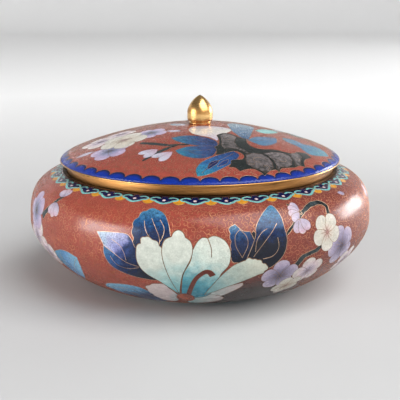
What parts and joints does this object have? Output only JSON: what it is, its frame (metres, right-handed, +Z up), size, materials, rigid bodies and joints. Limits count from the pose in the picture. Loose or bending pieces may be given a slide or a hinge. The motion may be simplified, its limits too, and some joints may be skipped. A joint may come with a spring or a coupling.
{
  "type": "cloisonne lidded bowl",
  "caption": "Low, full-bellied round bowl with a domed lift-off lid, gilt collar, rim and bud finial, enamelled all over with flowers and leaves.",
  "frame": {"origin": "centre of the foot ring's underside", "axes": "+Z up along the bowl's own axis; -Y towards the viewer of the main flower"},
  "size_m": [0.2, 0.2, 0.1083],
  "materials": {
    "enamel": "polished opaque enamel in fine gilt wire cells",
    "gilt_brass": "polished gilt, lightly streaked"
  },
  "bodies": {
    "root": {"foot_ring": "gilt_brass", "bowl_body": "enamel", "neck_collar": "gilt_brass", "lid_rim": "gilt_brass", "lid_shell": "enamel", "finial": "gilt_brass"}
  },
  "joints": []
}
